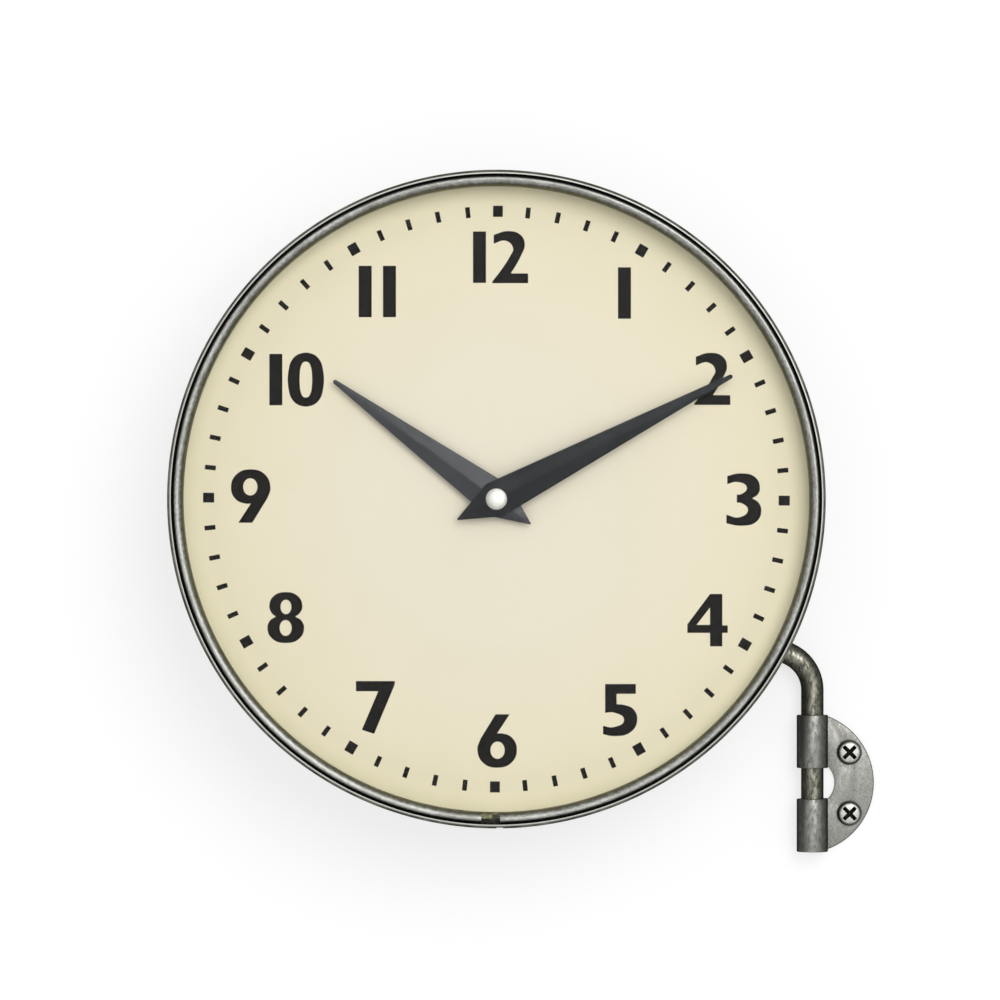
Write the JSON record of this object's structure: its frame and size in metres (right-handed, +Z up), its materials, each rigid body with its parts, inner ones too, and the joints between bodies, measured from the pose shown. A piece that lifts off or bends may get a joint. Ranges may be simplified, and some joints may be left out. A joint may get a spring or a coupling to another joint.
{
  "type": "double sided station clock",
  "caption": "Round double sided wall clock on a bent swing arm that turns in a half-moon hinge bracket, with plain numerals, kite-shaped hands and a battery movement behind each dial.",
  "frame": {"origin": "on the wall, midway between the two wall screws, on the back of the bracket's leaf", "axes": "+Z up along the hinge pin, +Y into the wall, so that the front dial looks along -Y at rest"},
  "size_m": [0.3266, 0.106, 0.3146],
  "materials": {
    "pewter_case": "aged steel with a dark olive-grey patina",
    "pewter": "aged steel, worn bright along the crown",
    "bracket_steel": "aged steel, mottled",
    "screw_steel": "aged steel, bright heads",
    "dark_steel": "dark",
    "olive_steel": "dull olive",
    "dial": "cream enamel, printed numerals and marks",
    "glass": "clear",
    "hand": "dark charcoal, satin",
    "cap": "satin",
    "black_plastic": "moulded",
    "white_plastic": "moulded",
    "board": "green board",
    "copper": "copper winding",
    "cell": "plain grey wrap",
    "plated_steel": "plated",
    "rubber": "soft",
    "brass": "turned brass"
  },
  "bodies": {
    "bracket": {"wall_bracket": "bracket_steel", "knuckle_plug": "bracket_steel", "wall_screws": "screw_steel"},
    "case": {"case_band": "pewter_case", "swing_arm": "bracket_steel", "front_ledge_ring": "dark_steel", "front_dial": "dial", "front_seat_ring": "olive_steel", "front_glass": "glass", "front_bezel_ring": "pewter", "front_movement_tray": "black_plastic", "front_movement_cover": "black_plastic", "front_circuit_board": "board", "front_drive_unit": "white_plastic", "front_stator": "dark_steel", "front_coil": "copper", "front_battery": "cell", "front_battery_contacts": "plated_steel", "front_rubber_washer": "rubber", "front_dial_washer": "brass", "front_dial_nut": "brass", "rear_ledge_ring": "dark_steel", "rear_dial": "dial", "rear_seat_ring": "olive_steel", "rear_glass": "glass", "rear_bezel_ring": "pewter", "rear_movement_tray": "black_plastic", "rear_movement_cover": "black_plastic", "rear_circuit_board": "board", "rear_drive_unit": "white_plastic", "rear_stator": "dark_steel", "rear_coil": "copper", "rear_battery": "cell", "rear_battery_contacts": "plated_steel", "rear_rubber_washer": "rubber", "rear_dial_washer": "brass", "rear_dial_nut": "brass"},
    "front_minute": {"front_minute_arbor": "brass", "front_minute_hand": "hand", "front_hand_cap": "cap"},
    "front_hour": {"front_hour_wheel": "white_plastic", "front_hour_hand": "hand"},
    "front_motion": {"front_motion_wheel": "white_plastic"},
    "front_setting": {"front_setting_knob": "white_plastic"},
    "rear_minute": {"rear_minute_arbor": "brass", "rear_minute_hand": "hand", "rear_hand_cap": "cap"},
    "rear_hour": {"rear_hour_wheel": "white_plastic", "rear_hour_hand": "hand"},
    "rear_motion": {"rear_motion_wheel": "white_plastic"},
    "rear_setting": {"rear_setting_knob": "white_plastic"}
  },
  "joints": [
    {"name": "swing", "type": "hinge", "parent": "bracket", "child": "case", "pos_m": [-0.0176, -0.00731, 0], "axis": [0, 0, 1], "range_deg": [0, 90]},
    {"name": "front_minute_turn", "type": "hinge", "parent": "case", "child": "front_minute", "pos_m": [-0.1651, -0.0385, 0.1327], "axis": [0, 1, 0], "continuous": true},
    {"name": "front_hour_turn", "type": "hinge", "parent": "case", "child": "front_hour", "pos_m": [-0.1651, -0.0385, 0.1327], "axis": [0, 1, 0], "continuous": true},
    {"name": "front_motion_turn", "type": "hinge", "parent": "case", "child": "front_motion", "pos_m": [-0.1651, -0.0385, 0.1447], "axis": [0, 1, 0], "continuous": true},
    {"name": "front_setting_turn", "type": "hinge", "parent": "case", "child": "front_setting", "pos_m": [-0.1514, -0.0385, 0.15081], "axis": [0, 1, 0], "continuous": true},
    {"name": "rear_minute_turn", "type": "hinge", "parent": "case", "child": "rear_minute", "pos_m": [-0.1651, -0.0385, 0.1327], "axis": [0, -1, 0], "continuous": true},
    {"name": "rear_hour_turn", "type": "hinge", "parent": "case", "child": "rear_hour", "pos_m": [-0.1651, -0.0385, 0.1327], "axis": [0, -1, 0], "continuous": true},
    {"name": "rear_motion_turn", "type": "hinge", "parent": "case", "child": "rear_motion", "pos_m": [-0.1651, -0.0385, 0.1447], "axis": [0, -1, 0], "continuous": true},
    {"name": "rear_setting_turn", "type": "hinge", "parent": "case", "child": "rear_setting", "pos_m": [-0.1788, -0.0385, 0.15081], "axis": [0, -1, 0], "continuous": true}
  ],
  "couplings": [
    {"joint": "front_hour_turn", "follows": "front_minute_turn", "ratio": 0.083333},
    {"joint": "front_motion_turn", "follows": "front_minute_turn", "ratio": -0.33333},
    {"joint": "front_setting_turn", "follows": "front_minute_turn", "ratio": 0.5},
    {"joint": "rear_hour_turn", "follows": "rear_minute_turn", "ratio": 0.083333},
    {"joint": "rear_motion_turn", "follows": "rear_minute_turn", "ratio": -0.33333},
    {"joint": "rear_setting_turn", "follows": "rear_minute_turn", "ratio": 0.5}
  ]
}
